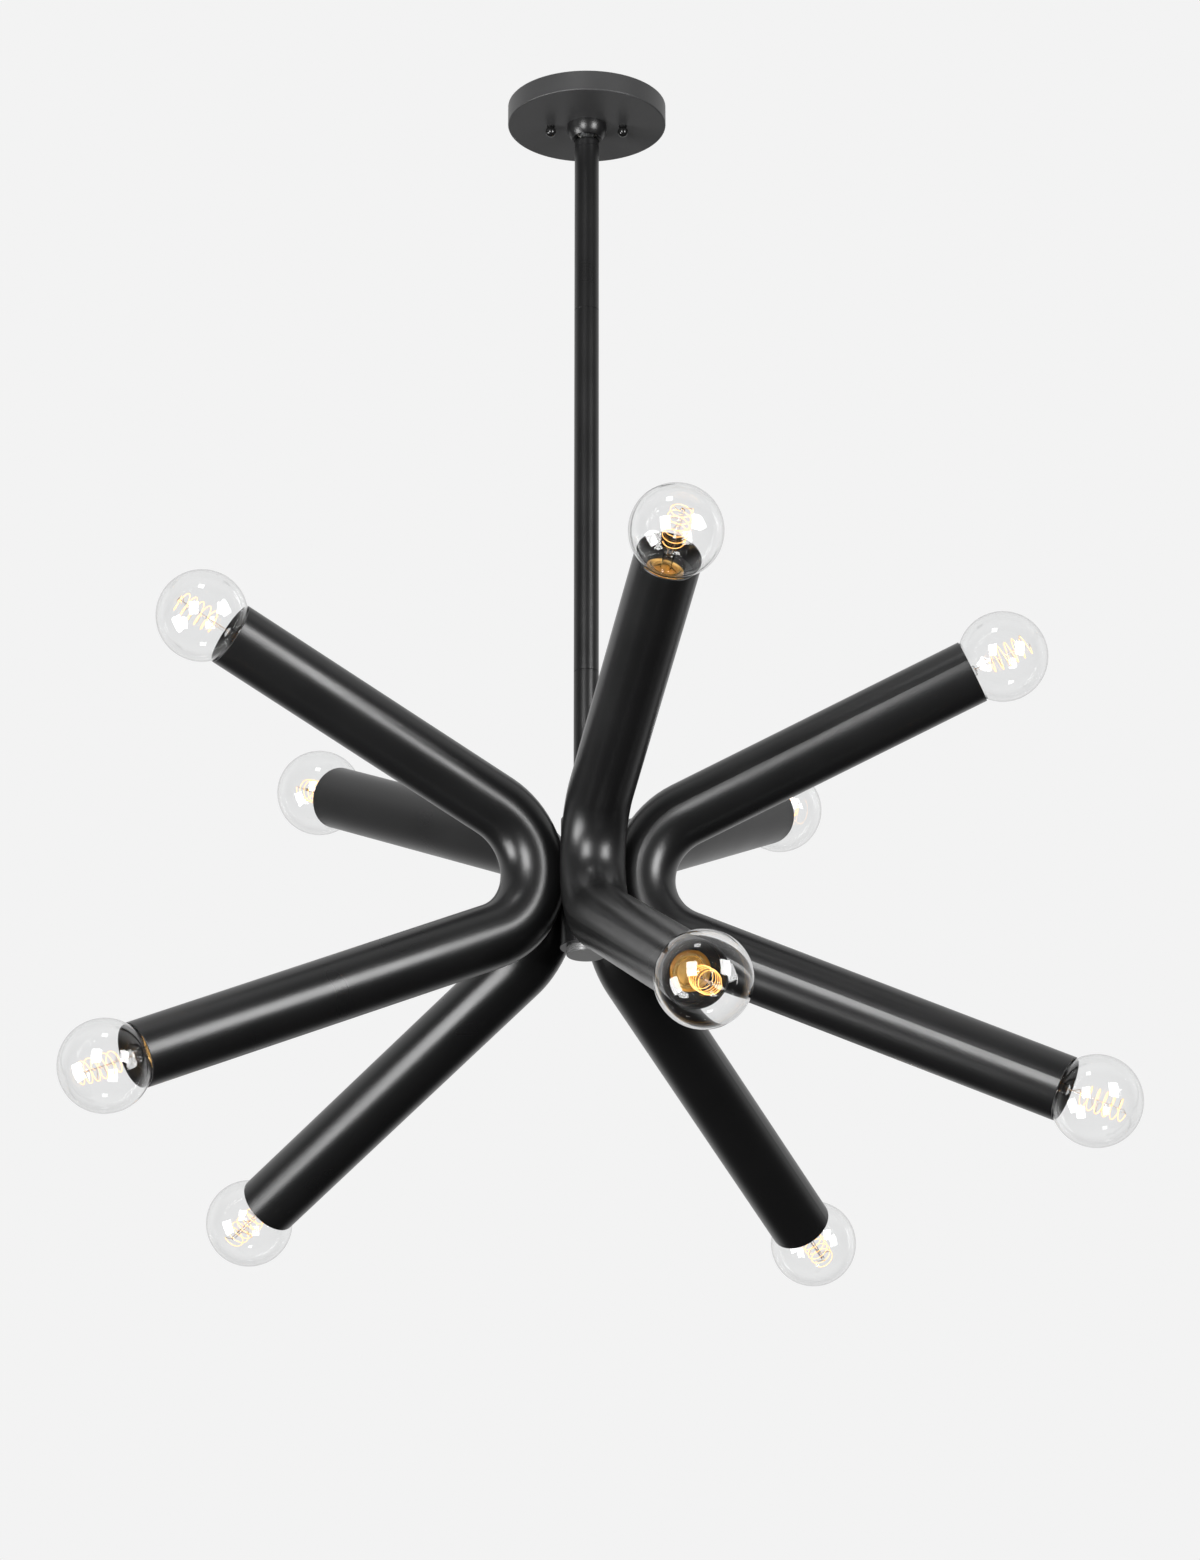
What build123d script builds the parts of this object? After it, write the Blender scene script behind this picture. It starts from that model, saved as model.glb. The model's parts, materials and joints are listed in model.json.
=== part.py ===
from build123d import *
import os
from math import asin, cos, degrees, radians, sin, sqrt

# A ceiling chandelier with five bent-tube arms, each carrying a globe lamp at both ends.
# Millimetres, +Z up. The origin is the centre of the crossbar's top face, on the ceiling,
# and -Y is the side that faces the room. Everything hangs below the origin.

# ---------------------------------------------------------------- driving dimensions
# Ceiling fixing
crossbar_width = 25.0
crossbar_thickness = 2.0
crossbar_lip = 5.0
crossbar_corner = 5.0
box_slot_spacing = 88.9
box_slot_width = 4.6
box_slot_length = 12.0
slot_end_margin = 5.5
stud_spacing = 66.7
stud_diameter = 4.0
stud_above = 5.0
stud_nut_flats = 7.0
stud_nut_height = 3.2
ground_screw_x = 18.0
ground_screw_diameter = 4.0
screw_head_diameter = 8.0
screw_head_height = 2.4
screw_head_round = 1.2
screw_slot_width = 1.0
screw_slot_depth = 1.2
screw_above = 2.0

# Canopy cup and its ball nuts
canopy_diameter = 146.0
canopy_height = 19.5
canopy_wall = 1.5
canopy_edge_radius = 1.2
ball_nut_diameter = 9.8
ball_nut_collar_diameter = 7.6
ball_nut_collar_height = 1.6
ball_nut_drop = 5.8
ball_nut_waist_diameter = 5.6
stud_past_ball = 2.0

# Swivel: a ball in a seat ring, inside a round socket under the canopy
swivel_diameter = 36.8
swivel_below_face = 1.0
swivel_rim_drop = 12.0
swivel_mouth_diameter = 26.0
swivel_ball_diameter = 21.0
seat_outer_diameter = 24.0
seat_drop = 7.0
seat_height = 9.0
seat_ledge_diameter = 18.0
boss_diameter = 28.8
boss_height = 9.6
cap_flats = 34.0
cap_web = 2.4

# Stem
collar_drop = 13.5
collar_length = 8.4
collar_shoulder = 3.4
collar_top_diameter = 16.0
stem_diameter = 22.4
stem_wall = 1.4
stem_upper_length = 165.6
stem_middle_length = 354.0
insert_length = 12.0
thread_short = 1.0
nipple_diameter = 10.0
nipple_bore = 6.8

# Hub column and finial
arm_level = 761.5
column_diameter = 44.4
column_wall = 2.0
column_above = 61.0
column_below = 56.5
cap_lip = 2.0
plug_depth = 6.0
base_flange_diameter = 45.8
base_flange_thickness = 1.4
finial_diameter = 34.2
finial_height = 7.2
finial_stud_diameter = 8.0
finial_stud_length = 5.0
groove_depth = 0.5
groove_width = 0.9
groove_drops = (2.2, 4.3)

# Arms: one tube each, bent once into a V that stands on end against the column
arm_count = 5
arm_first_angle = -83.6
arm_yaw_angles = (6.1, -0.6, 0.5, 1.1, 2.9)
arm_roll_angles = (-0.5, -0.5, -0.7, -2.3, 2.3)
tube_diameter = 57.15
tube_wall = 1.5
bend_radius = 65.0
rise_angle = 23.8
fall_angle = 24.9
upper_straight = 280.4
lower_straight = 359.9
seat_gap = 0.1
mouth_chamfer = 0.35
nut_flats = 14.0
nut_height = 5.0
nipple_overhang = 0.8

# Lampholders
plate_thickness = 1.2
plate_flange_length = 8.0
plate_hole_diameter = 29.6
holder_diameter = 37.0
holder_rim_diameter = 41.0
holder_rim_height = 3.0
holder_taper = 1.2
holder_depth = 32.0
holder_floor = 5.0
shell_bore = 27.2
shell_wall = 0.5
shell_proud = 1.6
shell_floor_hole = 14.0
contact_diameter = 10.0
contact_thickness = 0.8
contact_rivet_diameter = 5.0

# Bulbs
globe_diameter = 79.4
globe_ahead = 29.5
glass_wall = 0.9
neck_fillet = 10.0
neck_length = 7.5
bulb_cap_diameter = 26.2
bulb_cap_length = 21.5
bulb_cap_wall = 0.5
bulb_cap_proud = 2.5
neck_in_cap = 4.0
flare_height = 8.8
tip_diameter = 10.0
tip_height = 1.6
insulator_height = 4.6
insulator_inside = 2.0
mount_tube_diameter = 8.0
mount_top = 3.0
rod_diameter = 2.4
rod_top = 56.0
filament_width = 1.2
filament_coil_diameter = 26.0
filament_start = 16.0
filament_pitch = 7.1
filament_half_turns = 11
filament_tapered_halves = 4
filament_end_diameter = 19.0
filament_lead = 7.0
lead_rise = 6.0
lead_bend = 3.0
return_wire_diameter = 0.8

# ---------------------------------------------------------------- fits
running = 0.05
thread_gap = 0.05
slip = 0.3
soldered = 0.1

# ---------------------------------------------------------------- edges
edge_break = 0.4
flange_edge_radius = 0.35
seam_chamfer = 0.3

# ---------------------------------------------------------------- derived places
crossbar_length = box_slot_spacing + box_slot_length + 2 * slot_end_margin
face_z = -canopy_height
canopy_floor_z = face_z + canopy_wall
swivel_z = face_z - swivel_below_face
swivel_r = swivel_diameter / 2
ball_r = swivel_ball_diameter / 2
rim_z = swivel_z - swivel_rim_drop
nipple_r = nipple_diameter / 2
nipple_bore_r = nipple_bore / 2
collar_top_z = swivel_z - collar_drop
collar_bottom_z = collar_top_z - collar_length
stem_r = stem_diameter / 2
stem_joint_1_z = collar_bottom_z - stem_upper_length
stem_joint_2_z = stem_joint_1_z - stem_middle_length
column_r = column_diameter / 2
column_top_z = -arm_level + column_above
column_base_z = -arm_level - column_below
tube_r = tube_diameter / 2
tube_bore_r = tube_r - tube_wall
seat_radius = column_r + seat_gap + tube_r
nut_corner_r = nut_flats / sqrt(3)
globe_r = globe_diameter / 2
neck_r = bulb_cap_diameter / 2 - bulb_cap_wall - running
neck_top_w = globe_ahead - sqrt((globe_r + neck_fillet) ** 2 - (neck_r + neck_fillet) ** 2)
neck_end_w = neck_top_w - neck_length
cap_top_w = neck_end_w + neck_in_cap
tip_w = cap_top_w - bulb_cap_length - insulator_height - tip_height

os.makedirs("parts", exist_ok=True)


def finish(builder, name):
    """Label a finished piece and write it to its own file."""
    builder.part.label = name
    export_step(builder.part, "parts/" + name + ".step")


def sphere_height(radius, at):
    """Height of a ball's surface above its centre, at a distance from its axis."""
    return sqrt(radius**2 - at**2)


# ---------------------------------------------------------------- crossbar
# A pressed steel strap with two turned-down long edges. The two long slots take the
# ceiling box's own screws, and the two tapped holes hold the canopy studs.
with BuildPart() as crossbar:
    with BuildSketch(Plane.XY.offset(-crossbar_thickness)):
        Rectangle(crossbar_length, crossbar_width)
        fillet(vertices(), crossbar_corner)
        with Locations((-box_slot_spacing / 2, 0), (box_slot_spacing / 2, 0)):
            SlotOverall(box_slot_length, box_slot_width, mode=Mode.SUBTRACT)
        with GridLocations(stud_spacing, 0, 2, 1):
            Circle(stud_diameter / 2 + thread_gap, mode=Mode.SUBTRACT)
        with Locations((ground_screw_x, 0)):
            Circle(ground_screw_diameter / 2 + thread_gap, mode=Mode.SUBTRACT)
        Circle(nipple_r + slip, mode=Mode.SUBTRACT)
    extrude(amount=crossbar_thickness)
    with BuildSketch(Plane.XY.offset(-crossbar_thickness)):
        with GridLocations(0, crossbar_width - crossbar_thickness, 1, 2):
            Rectangle(crossbar_length - 2 * crossbar_corner, crossbar_thickness)
    extrude(amount=-crossbar_lip)
finish(crossbar, "crossbar")

with BuildPart() as ground_screw:
    with BuildSketch(Plane.XY.offset(-crossbar_thickness)):
        with Locations((ground_screw_x, 0)):
            Circle(screw_head_diameter / 2)
    extrude(amount=-screw_head_height)
    fillet(ground_screw.faces().sort_by(Axis.Z)[0].edges(), screw_head_round)
    with BuildSketch(Plane.XY.offset(-crossbar_thickness)):
        with Locations((ground_screw_x, 0)):
            Circle(ground_screw_diameter / 2)
    extrude(amount=crossbar_thickness + screw_above)
    with BuildSketch(Plane.XY.offset(-crossbar_thickness - screw_head_height)):
        with Locations((ground_screw_x, 0)):
            Rectangle(screw_head_diameter, screw_slot_width)
    extrude(amount=screw_slot_depth, mode=Mode.SUBTRACT)
finish(ground_screw, "ground_screw")

# ---------------------------------------------------------------- canopy studs and nuts
ball_nut_z = face_z - ball_nut_drop
stud_end_z = ball_nut_z - stud_past_ball
stud_places = [(-stud_spacing / 2, 0), (stud_spacing / 2, 0)]

with BuildPart() as canopy_studs:
    with BuildSketch(Plane.XY.offset(stud_end_z)):
        with Locations(stud_places):
            Circle(stud_diameter / 2)
    extrude(amount=stud_above - stud_end_z)
    chamfer(canopy_studs.edges().filter_by(GeomType.CIRCLE), edge_break)
finish(canopy_studs, "canopy_studs")

with BuildPart() as stud_nuts:
    with BuildSketch(Plane.XY.offset(-crossbar_thickness)):
        with Locations(stud_places):
            RegularPolygon(stud_nut_flats / 2, 6, major_radius=False)
            Circle(stud_diameter / 2 + thread_gap, mode=Mode.SUBTRACT)
    extrude(amount=-stud_nut_height)
finish(stud_nuts, "stud_nuts")

# Each ball nut is one turning: a short collar that meets the canopy, a waist and a ball,
# with a blind hole up its middle for the stud.
ball_nut_r = ball_nut_diameter / 2
collar_r = ball_nut_collar_diameter / 2
waist_r = ball_nut_waist_diameter / 2
collar_end = -ball_nut_collar_height
waist_start = -ball_nut_drop + sphere_height(ball_nut_r, waist_r)
with BuildPart() as ball_nuts:
    for place_x, place_y in stud_places:
        nut_plane = Plane(origin=(place_x, place_y, face_z), x_dir=(1, 0, 0), z_dir=(0, -1, 0))
        with BuildSketch(nut_plane):
            with BuildLine():
                Polyline((0, 0), (collar_r, 0), (collar_r, collar_end), (waist_r, collar_end))
                Line((waist_r, collar_end), (waist_r, waist_start))
                ThreePointArc(
                    (waist_r, waist_start),
                    (ball_nut_r, -ball_nut_drop),
                    (0, -ball_nut_drop - ball_nut_r),
                )
                Line((0, -ball_nut_drop - ball_nut_r), (0, 0))
            make_face()
        revolve(axis=Axis((place_x, place_y, 0), (0, 0, 1)))
        with BuildSketch(Plane.XY.offset(face_z)):
            with Locations((place_x, place_y)):
                Circle(stud_diameter / 2 + running)
        extrude(amount=stud_end_z - face_z - slip, mode=Mode.SUBTRACT)
finish(ball_nuts, "ball_nuts")

# ---------------------------------------------------------------- canopy
# A spun steel cup, open at the ceiling. Its flat face has a hole for the swivel's boss
# and two for the studs.
with BuildPart() as canopy:
    with BuildSketch(Plane.XY.offset(face_z)):
        Circle(canopy_diameter / 2)
    extrude(amount=canopy_height)
    fillet(canopy.faces().sort_by(Axis.Z)[0].edges(), canopy_edge_radius)
    with BuildSketch(Plane.XY.offset(canopy_floor_z)):
        Circle(canopy_diameter / 2 - canopy_wall)
    extrude(amount=canopy_height, mode=Mode.SUBTRACT)
    with BuildSketch(Plane.XY.offset(face_z)):
        Circle(boss_diameter / 2 + slip)
        with Locations(stud_places):
            Circle(stud_diameter / 2 + slip)
    extrude(amount=canopy_wall, mode=Mode.SUBTRACT)
finish(canopy, "canopy")

# ---------------------------------------------------------------- swivel
# The socket is the round bulb seen under the canopy. It is bored for the seat ring from
# above and opens in a cone below, so that the stem can lean. Its boss passes through the
# canopy, and the hexagon cap screws over it and clamps the canopy between the two.
socket_shoulder_r = sphere_height(swivel_r, swivel_below_face)
rim_outer_r = sphere_height(swivel_r, swivel_rim_drop)
rim_middle = swivel_below_face - (swivel_rim_drop + swivel_below_face) / 2
with BuildPart() as swivel_socket:
    with BuildSketch(Plane((0, 0, swivel_z), x_dir=(1, 0, 0), z_dir=(0, -1, 0))):
        with BuildLine():
            Polyline(
                (socket_shoulder_r, swivel_below_face),
                (boss_diameter / 2, swivel_below_face),
                (boss_diameter / 2, boss_height),
                (seat_outer_diameter / 2 + running, boss_height),
                (seat_outer_diameter / 2 + running, -seat_drop),
                (seat_ledge_diameter / 2, -seat_drop),
                (swivel_mouth_diameter / 2, -swivel_rim_drop),
                (rim_outer_r, -swivel_rim_drop),
            )
            ThreePointArc(
                (rim_outer_r, -swivel_rim_drop),
                (sphere_height(swivel_r, rim_middle), rim_middle),
                (socket_shoulder_r, swivel_below_face),
            )
        make_face()
    revolve(axis=Axis.Z)
finish(swivel_socket, "swivel_socket")

cap_bottom_z = canopy_floor_z
cap_web_z = swivel_z + ball_r + slip
with BuildPart() as swivel_cap:
    with BuildSketch(Plane.XY.offset(cap_bottom_z)):
        RegularPolygon(cap_flats / 2, 6, major_radius=False)
    extrude(amount=cap_web_z + cap_web - cap_bottom_z)
    chamfer(swivel_cap.faces().sort_by(Axis.Z)[-1].edges(), edge_break)
    with BuildSketch(Plane.XY.offset(cap_bottom_z)):
        Circle(boss_diameter / 2 + thread_gap)
    extrude(amount=swivel_z + boss_height + thread_gap - cap_bottom_z, mode=Mode.SUBTRACT)
    with BuildSketch(Plane.XY.offset(cap_bottom_z)):
        Circle(seat_outer_diameter / 2 + running)
    extrude(amount=cap_web_z - cap_bottom_z, mode=Mode.SUBTRACT)
    with BuildSketch(Plane.XY.offset(cap_web_z)):
        Circle(nipple_bore_r)
    extrude(amount=cap_web, mode=Mode.SUBTRACT)
finish(swivel_cap, "swivel_cap")

# The nylon seat ring turns in the socket, and the ball leans in the ring.
seat_ball_r = ball_r + running
seat_top = seat_height - seat_drop
with BuildPart() as swivel_seat:
    with BuildSketch(Plane((0, 0, swivel_z), x_dir=(1, 0, 0), z_dir=(0, -1, 0))):
        with BuildLine():
            ThreePointArc(
                (sphere_height(seat_ball_r, seat_drop - running), -seat_drop + running),
                (sphere_height(seat_ball_r, seat_drop / 2), -seat_drop / 2),
                (seat_ball_r, 0),
            )
            Polyline(
                (seat_ball_r, 0),
                (seat_ball_r, seat_top),
                (seat_outer_diameter / 2, seat_top),
                (seat_outer_diameter / 2, -seat_drop + running),
                (sphere_height(seat_ball_r, seat_drop - running), -seat_drop + running),
            )
        make_face()
    revolve(axis=Axis.Z)
finish(swivel_seat, "swivel_seat")

# The ball and its threaded neck are one turning, bored through for the wires. The neck
# passes through the collar and screws into the top of the stem.
neck_end_z = collar_bottom_z - insert_length + thread_short
with BuildPart() as swivel_ball:
    with BuildSketch(Plane((0, 0, swivel_z), x_dir=(1, 0, 0), z_dir=(0, -1, 0))):
        with BuildLine():
            ThreePointArc(
                (nipple_bore_r, sphere_height(ball_r, nipple_bore_r)),
                (ball_r, 0),
                (nipple_r, -sphere_height(ball_r, nipple_r)),
            )
            Polyline(
                (nipple_r, -sphere_height(ball_r, nipple_r)),
                (nipple_r, neck_end_z - swivel_z),
                (nipple_bore_r, neck_end_z - swivel_z),
                (nipple_bore_r, sphere_height(ball_r, nipple_bore_r)),
            )
        make_face()
    revolve(axis=Axis.Z)
finish(swivel_ball, "swivel_ball")

with BuildPart() as swivel_collar:
    with BuildSketch(Plane((0, 0, collar_top_z), x_dir=(1, 0, 0), z_dir=(0, -1, 0))):
        with BuildLine():
            Line((nipple_r + thread_gap, 0), (collar_top_diameter / 2, 0))
            TangentArc(
                (stem_r, -collar_shoulder), (collar_top_diameter / 2, 0), tangent=(0, 1)
            )
            Polyline(
                (stem_r, -collar_shoulder),
                (stem_r, -collar_length),
                (nipple_r + thread_gap, -collar_length),
                (nipple_r + thread_gap, 0),
            )
        make_face()
    revolve(axis=Axis.Z)
finish(swivel_collar, "swivel_collar")


# ---------------------------------------------------------------- stem
# Three lengths of round tube with a tapped insert in each end, screwed together on
# hollow nipples. The joints show as fine seams.
def stem_section(top_z, bottom_z):
    """A tube with a tapped insert in each end."""
    with BuildPart() as section:
        with BuildSketch(Plane.XY.offset(bottom_z)):
            Circle(stem_r)
        extrude(amount=top_z - bottom_z)
        chamfer(section.edges().filter_by(GeomType.CIRCLE), seam_chamfer)
        with BuildSketch(Plane.XY.offset(bottom_z)):
            Circle(nipple_r + thread_gap)
        extrude(amount=top_z - bottom_z, mode=Mode.SUBTRACT)
        with BuildSketch(Plane.XY.offset(bottom_z + insert_length)):
            Circle(stem_r - stem_wall)
        extrude(amount=top_z - bottom_z - 2 * insert_length, mode=Mode.SUBTRACT)
    return section


for stem_name, stem_top_z, stem_bottom_z in (
    ("stem_upper", collar_bottom_z, stem_joint_1_z),
    ("stem_middle", stem_joint_1_z, stem_joint_2_z),
    ("stem_lower", stem_joint_2_z, column_top_z),
):
    finish(stem_section(stem_top_z, stem_bottom_z), stem_name)

cap_nut_top_z = column_top_z - cap_lip - plug_depth
nipple_reach = insert_length - thread_short
with BuildPart() as stem_nipples:
    for nipple_top_z, nipple_bottom_z in (
        (stem_joint_1_z + nipple_reach, stem_joint_1_z - nipple_reach),
        (stem_joint_2_z + nipple_reach, stem_joint_2_z - nipple_reach),
        (column_top_z + nipple_reach, cap_nut_top_z - nut_height - nipple_overhang),
    ):
        with BuildSketch(Plane.XY.offset(nipple_bottom_z)):
            Circle(nipple_r)
            Circle(nipple_bore_r, mode=Mode.SUBTRACT)
        extrude(amount=nipple_top_z - nipple_bottom_z)
finish(stem_nipples, "stem_nipples")

# ---------------------------------------------------------------- hub column
# A short wide tube that the arms are bolted round. A plug closes each end: the upper one
# hangs on the stem's nipple, and the lower one has a wide thin flange and the finial's stud.
seat_angles = [arm_first_angle + step * 360 / arm_count for step in range(arm_count)]
column_bore_r = column_r - column_wall
with BuildPart() as hub_column:
    with BuildSketch(Plane.XY.offset(column_base_z)):
        Circle(column_r)
        Circle(column_bore_r, mode=Mode.SUBTRACT)
    extrude(amount=column_top_z - cap_lip - column_base_z)
    for angle in seat_angles:
        outward = Vector(1, 0, 0).rotate(Axis.Z, angle)
        with BuildSketch(Plane(origin=(0, 0, -arm_level), z_dir=outward)):
            Circle(nipple_r + thread_gap)
        extrude(amount=column_diameter, mode=Mode.SUBTRACT)
finish(hub_column, "hub_column")

with BuildPart() as column_cap:
    with BuildSketch(Plane.XY.offset(column_top_z)):
        Circle(column_r)
    extrude(amount=-cap_lip)
    chamfer(column_cap.faces().sort_by(Axis.Z)[-1].edges(), edge_break)
    with BuildSketch(Plane.XY.offset(column_top_z - cap_lip)):
        Circle(column_bore_r - running)
    extrude(amount=-plug_depth)
    with BuildSketch(Plane.XY.offset(column_top_z)):
        Circle(nipple_r + thread_gap)
    extrude(amount=-cap_lip - plug_depth, mode=Mode.SUBTRACT)
finish(column_cap, "column_cap")

flange_bottom_z = column_base_z - base_flange_thickness
with BuildPart() as column_base:
    with BuildSketch(Plane.XY.offset(column_base_z)):
        Circle(base_flange_diameter / 2)
    extrude(amount=-base_flange_thickness)
    fillet(column_base.edges().filter_by(GeomType.CIRCLE), flange_edge_radius)
    with BuildSketch(Plane.XY.offset(column_base_z)):
        Circle(column_bore_r - running)
    extrude(amount=plug_depth)
    with BuildSketch(Plane.XY.offset(flange_bottom_z)):
        Circle(finial_stud_diameter / 2)
    extrude(amount=-finial_stud_length)
finish(column_base, "column_base")

# The finial is a blind disc nut with fine turned grooves round its side.
finial_r = finial_diameter / 2
with BuildPart() as finial:
    with BuildSketch(Plane.XY.offset(flange_bottom_z)):
        Circle(finial_r)
    extrude(amount=-finial_height)
    chamfer(finial.edges().filter_by(GeomType.CIRCLE).group_by(Axis.Z)[0], groove_depth)
    for drop in groove_drops:
        with BuildSketch(Plane.XY.offset(flange_bottom_z - drop)):
            Circle(finial_r)
            Circle(finial_r - groove_depth, mode=Mode.SUBTRACT)
        extrude(amount=-groove_width, mode=Mode.SUBTRACT)
    with BuildSketch(Plane.XY.offset(flange_bottom_z)):
        Circle(finial_stud_diameter / 2 + thread_gap)
    extrude(amount=-finial_stud_length - thread_gap, mode=Mode.SUBTRACT)
finish(finial, "finial")


# ---------------------------------------------------------------- arms
# Each arm stands on end against the column, touching it at the middle of its bend, where
# a hollow nipple and two nuts hold it and let the wires in. The seats are a fifth of a
# turn apart. Each arm is turned and tipped a little in its seat, as hung.
def seat_point(number):
    """Centre of the tube at the middle of an arm's bend."""
    return Vector(seat_radius, 0, -arm_level).rotate(Axis.Z, seat_angles[number])


def arm_plane(number):
    """The plane that an arm's centre line lies in: X outward, Y up."""
    outward = Vector(1, 0, 0).rotate(Axis.Z, seat_angles[number] + arm_yaw_angles[number])
    upward = Vector(0, 0, 1).rotate(Axis((0, 0, 0), outward), -arm_roll_angles[number])
    return Plane(origin=seat_point(number), x_dir=outward, z_dir=outward.cross(upward))


def leg_turn(side):
    """Slope, straight length and sign of an arm's upper or lower leg."""
    if side == "upper":
        return rise_angle, upper_straight, 1
    return fall_angle, lower_straight, -1


def bend_end(side):
    """Where a leg leaves the bend, in the arm's plane."""
    slope, _, sign = leg_turn(side)
    return bend_radius * (1 - sin(radians(slope))), sign * bend_radius * cos(radians(slope))


def mouth_point(side):
    """Centre of a leg's open end, in the arm's plane."""
    slope, straight, sign = leg_turn(side)
    start_x, start_y = bend_end(side)
    return (
        start_x + straight * cos(radians(slope)),
        start_y + sign * straight * sin(radians(slope)),
    )


def mouth_plane(number, side):
    """Plane of a leg's open end, with Z along the leg and outward."""
    flat = arm_plane(number)
    slope, _, sign = leg_turn(side)
    along = flat.x_dir * cos(radians(slope)) + flat.y_dir * (sign * sin(radians(slope)))
    across = flat.z_dir
    return Plane(origin=flat.from_local_coords(mouth_point(side)), x_dir=across, z_dir=along)


def turning_plane(mouth):
    """Plane for a turned profile on a leg: X is the radius, Y runs outward."""
    return Plane(origin=mouth.origin, x_dir=mouth.x_dir, z_dir=-mouth.y_dir)


for number in range(arm_count):
    flat = arm_plane(number)
    drill = Plane(origin=seat_point(number), z_dir=-seat_point(number) - Vector(0, 0, arm_level))
    with BuildPart() as arm:
        with BuildLine(flat) as spine:
            Line(mouth_point("upper"), bend_end("upper"))
            CenterArc((bend_radius, 0), bend_radius, 90 + rise_angle, 180 - rise_angle - fall_angle)
            Line(bend_end("lower"), mouth_point("lower"))
        with BuildSketch(mouth_plane(number, "upper")):
            Circle(tube_r)
            Circle(tube_bore_r, mode=Mode.SUBTRACT)
        sweep(path=spine.line)
        mouths = arm.faces().filter_by(GeomType.PLANE)
        chamfer(mouths.edges(), mouth_chamfer)
        with BuildSketch(drill):
            Circle(nipple_r + thread_gap)
        extrude(amount=tube_diameter, mode=Mode.SUBTRACT)
    finish(arm, "arm_" + str(number + 1))

inner_nut_start = column_bore_r - sphere_height(column_bore_r, nut_corner_r) + slip
outer_nut_start = tube_bore_r - sphere_height(tube_bore_r, nut_corner_r) + 2 * slip
inner_nut_face = column_bore_r - inner_nut_start
outer_nut_face = seat_radius - tube_bore_r + outer_nut_start
with BuildPart() as arm_nipples:
    for angle in seat_angles:
        outward = Vector(1, 0, 0).rotate(Axis.Z, angle)
        start = outward * (inner_nut_face - nut_height - nipple_overhang)
        with BuildSketch(Plane(origin=start - Vector(0, 0, arm_level), z_dir=outward)):
            Circle(nipple_r)
            Circle(nipple_bore_r, mode=Mode.SUBTRACT)
        extrude(amount=outer_nut_face - inner_nut_face + 2 * (nut_height + nipple_overhang))
finish(arm_nipples, "arm_nipples")

with BuildPart() as lock_nuts:
    for angle in seat_angles:
        outward = Vector(1, 0, 0).rotate(Axis.Z, angle)
        for face_distance in (inner_nut_face - nut_height, outer_nut_face):
            start = outward * face_distance - Vector(0, 0, arm_level)
            with BuildSketch(Plane(origin=start, x_dir=(0, 0, 1), z_dir=outward)):
                RegularPolygon(nut_flats / 2, 6, major_radius=False)
                Circle(nipple_r + thread_gap, mode=Mode.SUBTRACT)
            extrude(amount=nut_height)
    with BuildSketch(Plane.XY.offset(cap_nut_top_z)):
        RegularPolygon(nut_flats / 2, 6, major_radius=False)
        Circle(nipple_r + thread_gap, mode=Mode.SUBTRACT)
    extrude(amount=-nut_height)
finish(lock_nuts, "lock_nuts")

# ---------------------------------------------------------------- lampholders
# A brass plate with a turned-back flange is pushed into each tube mouth. The insulating
# holder sits behind it, lined with a brass screw shell, with a riveted contact in its floor.
legs = [(number, side) for number in range(arm_count) for side in ("upper", "lower")]
plate_front = cap_top_w - bulb_cap_proud
plate_back = plate_front - plate_thickness
holder_back = plate_back - holder_depth
holder_floor_w = holder_back + holder_floor
shell_r = shell_bore / 2
shell_outer_r = shell_r + shell_wall
contact_top = tip_w - soldered - thread_gap
contact_bottom = contact_top - contact_thickness

with BuildPart() as holder_plates:
    for number, side in legs:
        mouth = mouth_plane(number, side)
        plate_r = tube_bore_r - slip / 2
        with BuildSketch(turning_plane(mouth)):
            with BuildLine():
                Polyline(
                    (plate_hole_diameter / 2, plate_front),
                    (plate_r, plate_front),
                    (plate_r, plate_front - plate_flange_length),
                    (plate_r - plate_thickness, plate_front - plate_flange_length),
                    (plate_r - plate_thickness, plate_back),
                    (plate_hole_diameter / 2, plate_back),
                    close=True,
                )
            make_face()
        revolve(axis=Axis(mouth.origin, mouth.z_dir))
finish(holder_plates, "holder_plates")

with BuildPart() as lampholders:
    for number, side in legs:
        mouth = mouth_plane(number, side)
        with BuildSketch(turning_plane(mouth)):
            with BuildLine():
                Polyline(
                    (shell_outer_r + thread_gap, plate_back),
                    (holder_rim_diameter / 2, plate_back),
                    (holder_rim_diameter / 2, plate_back - holder_rim_height),
                    (holder_diameter / 2, plate_back - holder_rim_height),
                    (holder_diameter / 2 - holder_taper, holder_back),
                    (contact_rivet_diameter / 2 + thread_gap, holder_back),
                    (contact_rivet_diameter / 2 + thread_gap, holder_floor_w),
                    (shell_outer_r + thread_gap, holder_floor_w),
                    close=True,
                )
            make_face()
        revolve(axis=Axis(mouth.origin, mouth.z_dir))
finish(lampholders, "lampholders")

with BuildPart() as screw_shells:
    for number, side in legs:
        mouth = mouth_plane(number, side)
        with BuildSketch(turning_plane(mouth)):
            with BuildLine():
                Polyline(
                    (shell_r, plate_front + shell_proud),
                    (shell_outer_r, plate_front + shell_proud),
                    (shell_outer_r, holder_floor_w + thread_gap),
                    (shell_floor_hole / 2, holder_floor_w + thread_gap),
                    (shell_floor_hole / 2, holder_floor_w + thread_gap + shell_wall),
                    (shell_r, holder_floor_w + thread_gap + shell_wall),
                    close=True,
                )
            make_face()
        revolve(axis=Axis(mouth.origin, mouth.z_dir))
finish(screw_shells, "screw_shells")

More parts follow.
